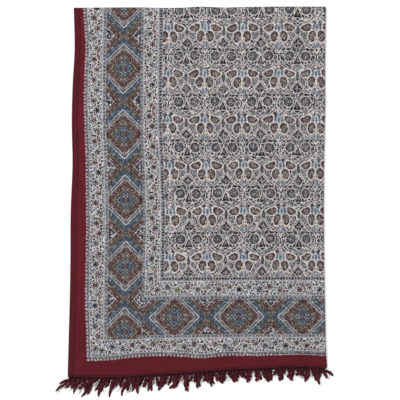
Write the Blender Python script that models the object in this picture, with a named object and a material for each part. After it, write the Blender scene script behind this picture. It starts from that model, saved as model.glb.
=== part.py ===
"""Block printed cotton tablecloth, folded in four and laid flat, with a twisted fringe at both ends.

Metres, +Z up. The cloth lies on the plane z = 0, its fringed ends towards -Y, the crease across its
middle at +Y and the crease along its length at +X. It is folded end over end first and then side over
side, so all four layers nest in the +X crease.
"""

import math
from collections import namedtuple

import bmesh
import bpy
import numpy as np

MM = 0.001

# The cut cloth and the folded bundle
CLOTH_WIDTH = 1500 * MM
CLOTH_LENGTH = 2132 * MM
CLOTH_THICK = 1.2 * MM
LAYER_PITCH = 2.0 * MM  # from one folded layer to the next
TOP_LAYER = 3  # the layers are numbered from the floor, 0 to 3
CREASE_RADIUS = LAYER_PITCH / 2  # of the first fold, at mid cloth
BUNDLE_RADIUS = LAYER_PITCH  # of the second fold, at the middle of the two layers that it turns
BUNDLE_MIDDLE = LAYER_PITCH * TOP_LAYER / 2  # height of the second fold's centre over the lowest layer
QUARTER_WIDTH = CLOTH_WIDTH / 2
QUARTER_LENGTH = CLOTH_LENGTH / 2

# The grid's lines, as shares of a quarter's width from the side edge and of its length from the fringed end
COLUMNS = (0, 0.03, 0.09, 0.17, 0.26, 0.36, 0.46, 0.56, 0.66, 0.76, 0.86, 0.935, 0.975, 1)
ROWS = (0, 0.03, 0.09, 0.16, 0.23, 0.3, 0.37, 0.44, 0.51, 0.58, 0.65, 0.72, 0.79, 0.86, 0.92, 0.96, 0.983, 1)
BUNDLE_TURNS = 6  # grid steps round the second fold, at least twice the cloth's own in the first
CREASE_TURNS = 4

# The outline of the upper quarter: how far it stands out past a straight rectangle
Edge = namedtuple("Edge", "along out_mm")
SIDE_EDGE = (  # from the fringed end up to the crease
    Edge(along=0.00, out_mm=6), Edge(along=0.10, out_mm=3), Edge(along=0.20, out_mm=0),
    Edge(along=0.31, out_mm=-2), Edge(along=0.45, out_mm=-3), Edge(along=0.57, out_mm=-8),
    Edge(along=0.70, out_mm=-6), Edge(along=0.80, out_mm=-9), Edge(along=0.88, out_mm=-14),
    Edge(along=1.00, out_mm=-12),
)
BUNDLE_EDGE = (
    Edge(along=0.00, out_mm=5), Edge(along=0.04, out_mm=2), Edge(along=0.14, out_mm=-1),
    Edge(along=0.30, out_mm=-4), Edge(along=0.58, out_mm=-4), Edge(along=0.72, out_mm=-1),
    Edge(along=0.86, out_mm=-1), Edge(along=1.00, out_mm=1),
)
FRINGED_EDGE = (  # from the side edge across to the crease
    Edge(along=0.00, out_mm=14), Edge(along=0.20, out_mm=15), Edge(along=0.34, out_mm=7),
    Edge(along=0.47, out_mm=2), Edge(along=0.63, out_mm=-8), Edge(along=0.75, out_mm=-11),
    Edge(along=0.87, out_mm=-16), Edge(along=1.00, out_mm=-12),
)
CREASE_EDGE = (
    Edge(along=0.00, out_mm=-2), Edge(along=0.25, out_mm=-1), Edge(along=0.43, out_mm=-2),
    Edge(along=0.50, out_mm=1), Edge(along=0.58, out_mm=-1), Edge(along=0.75, out_mm=1),
    Edge(along=1.00, out_mm=1),
)
SIDE_INSET = {3: 0, 2: 3 * MM, 1: 1.5 * MM, 0: 4 * MM}  # of each layer's side edge, from the top layer's
INSET_ENDS = 0.9  # share of the length where that inset begins to die out, towards the crease

# Soft ridges in the upper layers. The lowest layer lies flat
Ridge = namedtuple("Ridge", "across along turn_deg length_mm width_mm rise_mm")
RIDGES = (
    Ridge(across=0.10, along=0.42, turn_deg=86, length_mm=330, width_mm=26, rise_mm=2.2),
    Ridge(across=0.16, along=0.80, turn_deg=97, length_mm=260, width_mm=30, rise_mm=1.8),
    Ridge(across=0.44, along=0.60, turn_deg=62, length_mm=300, width_mm=46, rise_mm=1.6),
    Ridge(across=0.70, along=0.30, turn_deg=112, length_mm=280, width_mm=50, rise_mm=1.8),
    Ridge(across=0.63, along=0.84, turn_deg=20, length_mm=240, width_mm=42, rise_mm=1.5),
    Ridge(across=0.34, along=0.20, turn_deg=12, length_mm=260, width_mm=38, rise_mm=1.6),
)
BUNDLE_ROLL = 3.2 * MM  # how much fuller the bundle is beside its creases
CREASE_ROLL = 2.6 * MM
ROLL_WIDTH = 20 * MM
CALM_END = 70 * MM  # beside the fringed end, where the layers lie close again

# The fringe: a narrow heading along the cloth's end, and twisted locks that grow from it
HEADING_GAP = 0.3 * MM
HEADING_DEPTH = 5 * MM
HEADING_THICK = 1.4 * MM
LOCKS_PER_LAYER = 30
LOCK_MARGIN = 6 * MM  # from the heading's ends to the first lock's middle
LOCK_STEPS = 5
LOCK_WIDTH = 7 * MM
LOCK_LENGTH = 50 * MM
ROOT_WIDTH = 8 * MM
LOCK_STAGGER = {3: 0.0, 2: 0.5, 1: 0.25, 0: 0.75}  # of the pitch between locks, layer by layer
Heap = namedtuple("Heap", "below_mm thick_mm gap_mm")
HEAP = (  # each layer's locks lie on those of the layer under it. By distance below the cloth's end
    Heap(below_mm=5, thick_mm=1.4, gap_mm=0.6), Heap(below_mm=16, thick_mm=2.6, gap_mm=0.4),
    Heap(below_mm=32, thick_mm=2.2, gap_mm=0.4), Heap(below_mm=55, thick_mm=1.3, gap_mm=0.3),
    Heap(below_mm=75, thick_mm=1.0, gap_mm=0.3),
)
Lean = namedtuple("Lean", "along degrees longer")
LEAN = (  # which way the locks point, 0 straight out and minus towards the side edge, and their length
    Lean(along=0.00, degrees=-58, longer=1.10), Lean(along=0.04, degrees=-44, longer=1.20),
    Lean(along=0.10, degrees=-34, longer=1.25), Lean(along=0.17, degrees=-26, longer=1.05),
    Lean(along=0.30, degrees=-22, longer=1.00), Lean(along=0.42, degrees=-12, longer=0.95),
    Lean(along=0.55, degrees=2, longer=0.92), Lean(along=0.70, degrees=8, longer=0.90),
    Lean(along=0.86, degrees=4, longer=0.92), Lean(along=0.95, degrees=22, longer=0.90),
    Lean(along=1.00, degrees=46, longer=1.00),
)
ROOT_SHARE = 0.35  # of a lock's length, over which it turns from straight out to its lean
LEAN_JITTER = 3  # degrees
CURL = 22  # degrees, the most that a lock turns either way of its lean, so that neighbours stay apart
MOST_LEAN = 80  # degrees, so that no lock turns back to the cloth
LOCK_TAPER = (1.0, 1.0, 0.96, 0.85, 0.66, 0.34)  # width at the root and after each step
THINNEST = 0.6  # of its thickness, at a lock's tip
SEED = 11

PRINT_COLOUR = (0.235, 0.22, 0.235, 1)
PRINT_ROUGHNESS = 0.85
MAROON = (0.115, 0.012, 0.02, 1)
YARN_ROUGHNESS = 0.8
SHARP_EDGE = math.radians(50)


def curve(rows, column, at):
    """A smooth curve through a table's points: a cubic between neighbours, with slopes from those around."""
    knots = np.array([row[0] for row in rows], float)
    values = np.array([getattr(row, column) for row in rows], float)
    slopes = np.gradient(values, knots)
    at = np.clip(np.asarray(at, float), knots[0], knots[-1])
    i = np.clip(np.searchsorted(knots, at, side="right") - 1, 0, len(knots) - 2)
    span = knots[i + 1] - knots[i]
    t = (at - knots[i]) / span
    low, high = values[i], values[i + 1]
    bend = (3 * (high - low) - span * (2 * slopes[i] + slopes[i + 1])) * t**2
    twist = (2 * (low - high) + span * (slopes[i] + slopes[i + 1])) * t**3
    return low + span * slopes[i] * t + bend + twist


def ease(x):
    """0 below 0 and 1 above 1, with a smooth rise between."""
    x = np.clip(x, 0, 1)
    return x * x * (3 - 2 * x)


def layer_of(upper_side, front):
    """Layers 3 and 2 lie above the bundle's fold, 1 and 0 below it. The front half is outside."""
    return np.where(upper_side, np.where(front, 3, 2), np.where(front, 0, 1))


def side_x(along, layer):
    """The side edge's place, at a share of the length from the fringed end."""
    inset = np.vectorize(SIDE_INSET.get)(layer) * (1 - ease((along - INSET_ENDS) / (1 - INSET_ENDS)))
    return -curve(SIDE_EDGE, "out_mm", along) * MM + inset


def bundle_x(along):
    """Where the second fold begins, so that its outside lies on the outline."""
    return QUARTER_WIDTH + curve(BUNDLE_EDGE, "out_mm", along) * MM - BUNDLE_RADIUS - CREASE_RADIUS


def fringed_y(across):
    """The fringed end's place, at a share of the width from the side edge."""
    return -curve(FRINGED_EDGE, "out_mm", across) * MM


def crease_y(across):
    """Where the first fold begins."""
    return QUARTER_LENGTH + curve(CREASE_EDGE, "out_mm", across) * MM - CREASE_RADIUS


def relief(x, y):
    """How much the top layer rises at a place: soft ridges, and a fuller roll beside both creases."""
    rise = np.maximum(
        BUNDLE_ROLL * np.exp(-(((QUARTER_WIDTH - x) / ROLL_WIDTH) ** 2)),
        CREASE_ROLL * np.exp(-(((QUARTER_LENGTH - y) / ROLL_WIDTH) ** 2)),
    )
    for ridge in RIDGES:
        turn = math.radians(ridge.turn_deg)
        dx, dy = x - ridge.across * QUARTER_WIDTH, y - ridge.along * QUARTER_LENGTH
        run = (dx * math.cos(turn) + dy * math.sin(turn)) / (ridge.length_mm * MM / 2)
        off = (dy * math.cos(turn) - dx * math.sin(turn)) / (ridge.width_mm * MM)
        rise = rise + ridge.rise_mm * MM * np.exp(-(run**2) - off**2)
    return rise * ease(y / CALM_END)


def stations(shares, turns):
    """Along one direction of the cloth: the share of a quarter, and the angle turned about the fold."""
    shares = np.array(shares, float)
    arc = np.linspace(0, math.pi, turns + 1)[1:-1]
    share = np.concatenate([shares, np.ones(turns - 1), shares[::-1]])
    turned = np.concatenate([np.zeros(len(shares)), arc, np.full(len(shares), math.pi)])
    return share, turned


def folded(across, bundle_turn, along, crease_turn, outward):
    """A point of the folded cloth, outward from mid cloth: turned about one crease, then the other."""
    layer = layer_of(bundle_turn < math.pi / 2, crease_turn < math.pi / 2)
    left, right = side_x(along, layer), bundle_x(along)
    low, high = fringed_y(across), crease_y(across)

    def above_lowest(offset):
        reach = BUNDLE_RADIUS + (CREASE_RADIUS + offset) * np.cos(crease_turn)
        return reach, BUNDLE_MIDDLE + reach * np.cos(bundle_turn)

    reach, height = above_lowest(outward)
    lift = above_lowest(0)[1] / (TOP_LAYER * LAYER_PITCH)
    x = left + (right - left) * across + reach * np.sin(bundle_turn)
    y = low + (high - low) * along + (CREASE_RADIUS + outward) * np.sin(crease_turn)
    return np.stack([x, y, CLOTH_THICK / 2 + height + relief(x, y) * lift], axis=-1)


def closed_sheet(outer, inner):
    """Vertices and faces of a sheet with two skins, given as grids of points, and a rim that joins them."""
    columns, rows = outer.shape[:2]
    number = np.arange(columns * rows).reshape(columns, rows)
    far = number + columns * rows

    def quads(a, b, c, d):
        return np.stack([a.ravel(), b.ravel(), c.ravel(), d.ravel()], axis=1)

    skins = [
        quads(number[:-1, :-1], number[1:, :-1], number[1:, 1:], number[:-1, 1:]),
        quads(far[:-1, :-1], far[:-1, 1:], far[1:, 1:], far[1:, :-1]),
    ]
    around = np.concatenate([number[:, 0], number[-1, 1:], number[-2::-1, -1], number[0, -2::-1]])
    start, end = around[:-1], around[1:]
    rim = quads(end, start, start + columns * rows, end + columns * rows)
    return np.concatenate([outer.reshape(-1, 3), inner.reshape(-1, 3)]), np.concatenate([*skins, rim])


def add_object(name, points, faces, colour, roughness):
    """A closed mesh with its faces outwards, in a material of its own."""
    build = bmesh.new()
    corners = [build.verts.new(point) for point in points]
    for face in faces:
        build.faces.new([corners[i] for i in face])
    bmesh.ops.recalc_face_normals(build, faces=build.faces)
    mesh = bpy.data.meshes.new(name)
    build.to_mesh(mesh)
    build.free()
    mesh.shade_smooth()
    mesh.set_sharp_from_angle(angle=SHARP_EDGE)
    material = bpy.data.materials.new(name)
    material.use_nodes = True
    shader = material.node_tree.nodes["Principled BSDF"]
    shader.inputs["Base Color"].default_value = colour
    shader.inputs["Roughness"].default_value = roughness
    shader.inputs["Metallic"].default_value = 0
    mesh.materials.append(material)
    piece = bpy.data.objects.new(name, mesh)
    bpy.context.scene.collection.objects.link(piece)
    return piece


def make_cloth():
    """The whole printed cloth as one solid sheet, folded in four."""
    across, bundle_turn = stations(COLUMNS, BUNDLE_TURNS)
    along, crease_turn = stations(ROWS, CREASE_TURNS)
    across, along_grid = np.meshgrid(across, along, indexing="ij")
    bundle_turn, crease_grid = np.meshgrid(bundle_turn, crease_turn, indexing="ij")
    place = across, bundle_turn, along_grid, crease_grid
    points, faces = closed_sheet(folded(*place, CLOTH_THICK / 2), folded(*place, -CLOTH_THICK / 2))
    return add_object("cloth", points, faces, PRINT_COLOUR, PRINT_ROUGHNESS)


Station = namedtuple("Station", "x layer turn lock")  # one cross-section of the heading


def end_y(layer, x):
    """Where the cloth's fringed end lies in a layer, at a place across it: straight between columns."""
    left, right = side_x(0, layer), bundle_x(0)
    return np.interp((x - left) / (right - left), COLUMNS, fringed_y(COLUMNS))


def heap_floor(layer, x, y):
    """The height that the locks of a layer rest at, and how thick they may be there."""
    below = (end_y(layer, x) - y) / MM
    thick = curve(HEAP, "thick_mm", below) * MM
    return layer * (thick + curve(HEAP, "gap_mm", below) * MM), thick


def lock_path(layer, x, along, chance):
    """A lock's middle line from the heading outwards, in plan, and its direction at each point."""
    lean = curve(LEAN, "degrees", along) + chance.uniform(-LEAN_JITTER, LEAN_JITTER)
    length = LOCK_LENGTH * curve(LEAN, "longer", along) * chance.uniform(0.8, 1.16)
    curl = CURL * chance.uniform(0.35, 1) * chance.choice([-1, 1])
    phase, waves = chance.uniform(0, 2 * math.pi), chance.uniform(0.6, 1.1)
    share = np.linspace(0, 1, LOCK_STEPS + 1)
    middle = (share[:-1] + share[1:]) / 2
    turn = (lean + curl * np.sin(phase + 2 * math.pi * waves * middle)) * ease(middle / ROOT_SHARE)
    turn = np.radians(np.clip(turn, -MOST_LEAN, MOST_LEAN))
    steps = np.stack([np.sin(turn), -np.cos(turn)], axis=1) * length / LOCK_STEPS
    start = (x, end_y(layer, x) - HEADING_GAP - HEADING_DEPTH)
    line = start + np.concatenate([[(0, 0)], np.cumsum(steps, axis=0)])
    return line, np.concatenate([[0], (turn[:-1] + turn[1:]) / 2, turn[-1:]])


def lock_sections(layer, x, along, chance):
    """Corner points of each section after the root: left low, right low, right high, left high."""
    line, turns = lock_path(layer, x, along, chance)
    sections = []
    for middle, turn, taper in zip(line[1:], turns[1:], LOCK_TAPER[1:]):
        aside = np.array([math.cos(turn), math.sin(turn)]) * LOCK_WIDTH * taper / 2
        low, thick = heap_floor(layer, *middle)
        high = low + thick * max(taper, THINNEST)
        left, right = middle - aside, middle + aside
        sections.append([(*left, low), (*right, low), (*right, high), (*left, high)])
    return sections


def heading_leg(layer, turn):
    """The heading's stations along one layer, from the side edge to the fold. Two share a lock's number."""
    left, right = side_x(0, layer), bundle_x(0)
    pitch = (right - left - 2 * LOCK_MARGIN) / (LOCKS_PER_LAYER - 1 + max(LOCK_STAGGER.values()))
    stations = [Station(left, layer, turn, None)]
    for i in range(LOCKS_PER_LAYER):
        x = left + LOCK_MARGIN + pitch * (i + LOCK_STAGGER[layer])
        stations += [Station(x + side * ROOT_WIDTH / 2, layer, turn, i) for side in (-1, 1)]
    return stations + [Station(right, layer, turn, None)]


def heading_corners(station, radius):
    """Corners of the heading's section, its front to the cloth: outer and inner front, inner and outer back."""
    corners = []
    for depth, skin in ((0, 1), (0, -1), (HEADING_DEPTH, -1), (HEADING_DEPTH, 1)):
        reach = radius + skin * HEADING_THICK / 2
        x = station.x + reach * math.sin(station.turn)
        y = end_y(station.layer, station.x) - HEADING_GAP - depth
        corners.append((x, y, HEADING_THICK / 2 + BUNDLE_MIDDLE + reach * math.cos(station.turn)))
    return corners


def make_fringe(name, upper, lower, seed):
    """One end's fringe: a heading along the cloth's end, round the bundle's fold and back, and its locks."""
    chance = np.random.default_rng(seed)
    radius = (upper - lower) / 2 * LAYER_PITCH
    arc = [Station(bundle_x(0), upper, math.pi * i / BUNDLE_TURNS, None) for i in range(1, BUNDLE_TURNS)]
    stations = heading_leg(upper, 0) + arc + heading_leg(lower, math.pi)[::-1]
    points = [corner for station in stations for corner in heading_corners(station, radius)]
    last = len(points) - 4
    faces = [(0, 1, 2, 3), (last, last + 1, last + 2, last + 3)]
    for i, (station, following) in enumerate(zip(stations, stations[1:])):
        a, b = 4 * i, 4 * i + 4
        rooted = station.lock is not None and station.lock == following.lock
        sides = (0, 1, 3) if rooted else (0, 1, 2, 3)
        faces += [(a + k, a + (k + 1) % 4, b + (k + 1) % 4, b + k) for k in sides]
        if not rooted:
            continue
        ring = (a + 3, a + 2, b + 2, b + 3)
        # A section's corners in the ring's order, which starts at the heading's outer face
        order = (3, 0, 1, 2) if station.layer == upper else (1, 2, 3, 0)
        middle = (station.x + following.x) / 2
        along = (middle - side_x(0, upper)) / (bundle_x(0) - side_x(0, upper))
        for section in lock_sections(station.layer, middle, along, chance):
            grown = tuple(range(len(points), len(points) + 4))
            points += [section[k] for k in order]
            faces += [(ring[k], ring[(k + 1) % 4], grown[(k + 1) % 4], grown[k]) for k in range(4)]
            ring = grown
        faces.append(ring)
    return add_object(name, points, faces, MAROON, YARN_ROUGHNESS)


def stand_on_origin(pieces):
    """Moves the whole bundle so that the middle of its base is the origin."""
    points = np.concatenate([[tuple(v.co) for v in piece.data.vertices] for piece in pieces])
    low, high = points.min(0), points.max(0)
    middle = (low + high) / 2
    for piece in pieces:
        piece.location = (-middle[0], -middle[1], -low[2])


def main():
    for item in list(bpy.data.objects):
        bpy.data.objects.remove(item)
    pieces = [
        make_cloth(),
        make_fringe("fringe_outer", upper=TOP_LAYER, lower=0, seed=SEED),
        make_fringe("fringe_inner", upper=TOP_LAYER - 1, lower=1, seed=SEED + 1),
    ]
    stand_on_origin(pieces)


main()
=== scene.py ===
# %% [markdown]
# This lesson dresses a block printed tablecloth that is folded in four and laid flat. The real one is a
# length of plain cotton, printed all over by hand with carved wooden blocks. Its edges are dyed maroon, and
# its warp ends are twisted into a fringe. The solids of the bundle, one cloth and two fringes, are already
# made, and they come in first as a fixed frame. Every piece below is worked out in that frame, in metres.

# %% The frame
import math
from collections import namedtuple

import bpy
import numpy as np
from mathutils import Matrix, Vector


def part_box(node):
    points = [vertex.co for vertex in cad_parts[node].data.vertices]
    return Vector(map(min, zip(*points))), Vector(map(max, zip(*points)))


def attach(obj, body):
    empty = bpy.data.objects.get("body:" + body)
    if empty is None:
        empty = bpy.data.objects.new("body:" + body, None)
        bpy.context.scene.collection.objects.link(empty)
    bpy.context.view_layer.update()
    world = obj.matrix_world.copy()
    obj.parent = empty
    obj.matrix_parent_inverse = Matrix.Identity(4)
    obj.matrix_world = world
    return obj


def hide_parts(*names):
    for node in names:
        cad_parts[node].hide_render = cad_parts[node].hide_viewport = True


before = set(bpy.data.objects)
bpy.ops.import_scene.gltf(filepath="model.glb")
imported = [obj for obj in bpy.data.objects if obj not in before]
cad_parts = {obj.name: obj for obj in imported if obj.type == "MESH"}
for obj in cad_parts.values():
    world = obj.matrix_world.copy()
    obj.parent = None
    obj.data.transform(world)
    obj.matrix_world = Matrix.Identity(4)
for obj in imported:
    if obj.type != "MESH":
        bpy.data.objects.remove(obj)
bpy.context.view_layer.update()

print("solids in the frame:", sorted(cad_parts))

# %% [markdown]
# The bundle's sizes are few: the cut cloth, its thickness, and how far apart the folded layers lie. Each edge
# of the folded cloth wanders by some millimetres, as cloth laid out by hand does, so its outline is a short
# table of how far it stands out past a straight line, with a smooth curve through it.

# %% Sizes and outline
MM = 0.001
CLOTH_WIDTH = 1500 * MM
CLOTH_LENGTH = 2132 * MM
CLOTH_THICK = 1.2 * MM
LAYER_PITCH = 2.0 * MM  # from one folded layer to the next
TOP_LAYER = 3  # the layers are numbered from the floor, 0 to 3
CREASE_RADIUS = LAYER_PITCH / 2  # of the first fold, end over end
BUNDLE_RADIUS = LAYER_PITCH  # of the second fold, side over side
BUNDLE_MIDDLE = LAYER_PITCH * TOP_LAYER / 2
QUARTER_WIDTH = CLOTH_WIDTH / 2
QUARTER_LENGTH = CLOTH_LENGTH / 2


def table(kind, *rows):
    """Plain rows as named ones, so that each column can be read by its name."""
    return [kind(*row) for row in rows]


Edge = namedtuple("Edge", "along out_mm")
SIDE_EDGE = table(  # from the fringed end up to the crease
    Edge, (0.00, 6), (0.10, 3), (0.20, 0), (0.31, -2), (0.45, -3), (0.57, -8), (0.70, -6), (0.80, -9),
    (0.88, -14), (1.00, -12),
)
BUNDLE_EDGE = table(
    Edge, (0.00, 5), (0.04, 2), (0.14, -1), (0.30, -4), (0.58, -4), (0.72, -1), (0.86, -1), (1.00, 1),
)
FRINGED_EDGE = table(  # from the side edge across to the crease
    Edge, (0.00, 14), (0.20, 15), (0.34, 7), (0.47, 2), (0.63, -8), (0.75, -11), (0.87, -16), (1.00, -12),
)
CREASE_EDGE = table(
    Edge, (0.00, -2), (0.25, -1), (0.43, -2), (0.50, 1), (0.58, -1), (0.75, 1), (1.00, 1),
)


def curve(rows, column, at):
    """A smooth curve through a table: cubics between neighbours, with slopes from the points around."""
    knots = np.array([row[0] for row in rows], float)
    values = np.array([getattr(row, column) for row in rows], float)
    slopes = np.gradient(values, knots)
    at = np.clip(np.asarray(at, float), knots[0], knots[-1])
    i = np.clip(np.searchsorted(knots, at, side="right") - 1, 0, len(knots) - 2)
    span = knots[i + 1] - knots[i]
    t = (at - knots[i]) / span
    low, high = values[i], values[i + 1]
    bend = (3 * (high - low) - span * (2 * slopes[i] + slopes[i + 1])) * t**2
    twist = (2 * (low - high) + span * (slopes[i] + slopes[i + 1])) * t**3
    return low + span * slopes[i] * t + bend + twist


def ease(x):
    """0 below 0 and 1 above 1, with a smooth rise between: x squared times (3 - 2x)."""
    x = np.clip(x, 0, 1)
    return x * x * (3 - 2 * x)


print("folded size:", QUARTER_WIDTH, "by", QUARTER_LENGTH, "m, fringe apart")

# %% [markdown]
# A folded cloth could be simulated, but four flat layers would only slide about. A rule is surer: every point
# of the flat cloth has a share across, a share along and an angle turned about each of the two folds, and
# from these comes its place. The layers then nest and never touch. Soft ridges lift the upper layers, and the
# lowest stays flat on the floor, as weight keeps it.

# %% The fold
Ridge = namedtuple("Ridge", "across along turn_deg length_mm width_mm rise_mm")
RIDGES = table(
    Ridge, (0.10, 0.42, 86, 330, 26, 2.2), (0.16, 0.80, 97, 260, 30, 1.8), (0.44, 0.60, 62, 300, 46, 1.6),
    (0.70, 0.30, 112, 280, 50, 1.8), (0.63, 0.84, 20, 240, 42, 1.5), (0.34, 0.20, 12, 260, 38, 1.6),
)
BUNDLE_ROLL = 3.2 * MM  # how much fuller the bundle is beside its creases
CREASE_ROLL = 2.6 * MM
ROLL_WIDTH = 20 * MM
CALM_END = 70 * MM  # beside the fringed end, where the layers lie close again
RIPPLE = 0.35 * MM  # the cloth's small waves, which only the finer mesh here can hold
RIPPLE_WAVES = ((0.061, 0.023, 0.4), (0.018, -0.047, 2.1), (0.083, 0.071, 4.0), (-0.052, 0.094, 5.3))


def side_x(along):
    """The side edge's place in every layer, at a share of the length from the fringed end."""
    return -curve(SIDE_EDGE, "out_mm", along) * MM


def bundle_x(along):
    """Where the second fold begins, so that its outside lies on the outline."""
    return QUARTER_WIDTH + curve(BUNDLE_EDGE, "out_mm", along) * MM - BUNDLE_RADIUS - CREASE_RADIUS


def fringed_y(across):
    """The fringed end's place, at a share of the width from the side edge."""
    return -curve(FRINGED_EDGE, "out_mm", across) * MM


def crease_y(across):
    """Where the first fold begins."""
    return QUARTER_LENGTH + curve(CREASE_EDGE, "out_mm", across) * MM - CREASE_RADIUS


def relief(x, y):
    """How much the top layer rises: soft ridges, a fuller roll beside both creases, and small waves."""
    rise = np.maximum(
        BUNDLE_ROLL * np.exp(-(((QUARTER_WIDTH - x) / ROLL_WIDTH) ** 2)),
        CREASE_ROLL * np.exp(-(((QUARTER_LENGTH - y) / ROLL_WIDTH) ** 2)),
    )
    for ridge in RIDGES:
        turn = math.radians(ridge.turn_deg)
        dx, dy = x - ridge.across * QUARTER_WIDTH, y - ridge.along * QUARTER_LENGTH
        run = (dx * math.cos(turn) + dy * math.sin(turn)) / (ridge.length_mm * MM / 2)
        off = (dy * math.cos(turn) - dx * math.sin(turn)) / (ridge.width_mm * MM)
        rise = rise + ridge.rise_mm * MM * np.exp(-(run**2) - off**2)
    waves = sum(np.sin(a * x / MM + b * y / MM + phase) for a, b, phase in RIPPLE_WAVES)
    return (rise + RIPPLE * (1 + waves / len(RIPPLE_WAVES))) * ease(y / CALM_END)


def folded(across, bundle_turn, along, crease_turn, outward):
    """A point of the folded cloth, outward from mid cloth: turned about one crease, then the other."""
    left, right = side_x(along), bundle_x(along)
    low, high = fringed_y(across), crease_y(across)

    def above_lowest(offset):
        reach = BUNDLE_RADIUS + (CREASE_RADIUS + offset) * np.cos(crease_turn)
        return reach, BUNDLE_MIDDLE + reach * np.cos(bundle_turn)

    reach, height = above_lowest(outward)
    lift = above_lowest(0)[1] / (TOP_LAYER * LAYER_PITCH)
    x = left + (right - left) * across + reach * np.sin(bundle_turn)
    y = low + (high - low) * along + (CREASE_RADIUS + outward) * np.sin(crease_turn)
    return np.stack([x, y, CLOTH_THICK / 2 + height + relief(x, y) * lift], axis=-1)


print("ridges:", len(RIDGES), "and the highest rises", max(r.rise_mm for r in RIDGES), "mm")

# %% [markdown]
# The grid's lines are close together where the cloth has fine form, at its hem and creases and all over the
# top layer, and wide apart in the hidden layers. A turned hem runs down both long sides. It doubles the cloth
# for 17 mm, so it is a little thicker on the wrong side and dips along its row of stitches.

# %% The grid of the flat cloth
HEM_WIDTH = 17 * MM
HEM_EXTRA = 0.3 * MM
STITCH_DIP = 0.25 * MM
DIP_WIDTH = 2.5 * MM
EDGE_ROUND = 0.5 * MM
BUNDLE_STEPS, CREASE_STEPS = 12, 8
HEM_ZONE, END_ZONE, CREASE_ZONE = 20 * MM, 12 * MM, 50 * MM  # where the grid is finer than in between


def shares(length, edge_zone, steps):
    """Grid lines as shares of a length: so many steps beside the edge, in between and beside the crease."""
    lines, start = [np.zeros(1)], 0
    for end, count in zip((edge_zone, length - CREASE_ZONE, length), steps):
        lines.append(np.linspace(start, end, count + 1)[1:] / length)
        start = end
    return np.concatenate(lines)


def stations(first, turns, second):
    """Along one direction of the cloth: the share of a quarter, and the angle turned about the fold."""
    arc = np.linspace(0, math.pi, turns + 1)[1:-1]
    share = np.concatenate([first, np.ones(turns - 1), second[::-1]])
    turned = np.concatenate([np.zeros(len(first)), arc, np.full(len(second), math.pi)])
    return share, turned


fine_columns = shares(QUARTER_WIDTH, HEM_ZONE, (10, 104, 12))
coarse_columns = shares(QUARTER_WIDTH, HEM_ZONE, (6, 32, 9))
fine_rows = shares(QUARTER_LENGTH, END_ZONE, (4, 154, 12))
coarse_rows = shares(QUARTER_LENGTH, END_ZONE, (3, 44, 9))
column_share, column_turn = stations(fine_columns, BUNDLE_STEPS, coarse_columns)
row_share, row_turn = stations(fine_rows, CREASE_STEPS, coarse_rows)
across, along = np.meshgrid(column_share, row_share, indexing="ij")
bundle_turn, crease_turn = np.meshgrid(column_turn, row_turn, indexing="ij")
from_side = across * QUARTER_WIDTH
hem_extra = HEM_EXTRA * (1 - ease((from_side - HEM_WIDTH) / DIP_WIDTH + 0.5))
stitch_dip = STITCH_DIP * np.exp(-(((from_side - HEM_WIDTH + DIP_WIDTH) / DIP_WIDTH) ** 2))
printed_side = folded(across, bundle_turn, along, crease_turn, CLOTH_THICK / 2 - stitch_dip)
wrong_side = folded(across, bundle_turn, along, crease_turn, -CLOTH_THICK / 2 - hem_extra + stitch_dip)
print("grid of the cloth:", across.shape)

# %% [markdown]
# The sheet is closed: a printed skin, a wrong-side skin, and a rim between them with a middle line that
# stands out a little on the long sides, so that the hem's edge looks folded and not cut with a knife.

# %% A closed sheet


def quads(a, b, c, d):
    """Four grids of vertex numbers as a list of four-sided faces."""
    return np.stack([a.ravel(), b.ravel(), c.ravel(), d.ravel()], axis=1)


def closed_sheet(outer, inner, bulge):
    """Points and faces of two skins and a rim whose middle line is moved by bulge, one shift a point."""
    columns, rows = outer.shape[:2]
    number = np.arange(columns * rows).reshape(columns, rows)
    far = number + columns * rows
    around = np.concatenate([number[:, 0], number[-1, 1:], number[-2::-1, -1], number[0, -2:0:-1]])
    middle = (outer.reshape(-1, 3)[around] + inner.reshape(-1, 3)[around]) / 2 + bulge.reshape(-1, 3)[around]
    rim = 2 * columns * rows + np.arange(len(around))
    rim_next, next_around = np.roll(rim, -1), np.roll(around, -1)
    faces = [
        quads(number[:-1, :-1], number[1:, :-1], number[1:, 1:], number[:-1, 1:]),
        quads(far[:-1, :-1], far[:-1, 1:], far[1:, 1:], far[1:, :-1]),
        quads(next_around, around, rim, rim_next),
        quads(rim_next, rim, around + columns * rows, next_around + columns * rows),
    ]
    points = np.concatenate([outer.reshape(-1, 3), inner.reshape(-1, 3), middle])
    return points, np.concatenate(faces), around


def volume(points, faces):
    """A closed mesh's volume, above 0 if its faces point outwards: a sixth of each triangle's box product."""
    a, b, c, d = (points[faces[:, k]] for k in range(4))
    return (np.cross(a, b) * c).sum() / 6 + (np.cross(a, c) * d).sum() / 6


def add_piece(name, points, faces):
    """A mesh object at the origin, its place in its mesh, shaded smooth."""
    mesh = bpy.data.meshes.new(name)
    mesh.from_pydata(points.tolist(), [], faces if isinstance(faces, list) else faces.tolist())
    mesh.shade_smooth()
    piece = bpy.data.objects.new(name, mesh)
    bpy.context.scene.collection.objects.link(piece)
    return piece


def add_uv(mesh, name, places):
    """A UV map with one place for each vertex."""
    corners = np.empty(len(mesh.loops), np.int32)
    mesh.loops.foreach_get("vertex_index", corners)
    mesh.uv_layers.new(name=name).data.foreach_set("uv", places[corners].astype(np.float32).ravel())


def add_value(mesh, name, values):
    """A number for each vertex, which a material reads as an attribute."""
    mesh.attributes.new(name, "FLOAT", "POINT").data.foreach_set("value", values.astype(np.float32))


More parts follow.
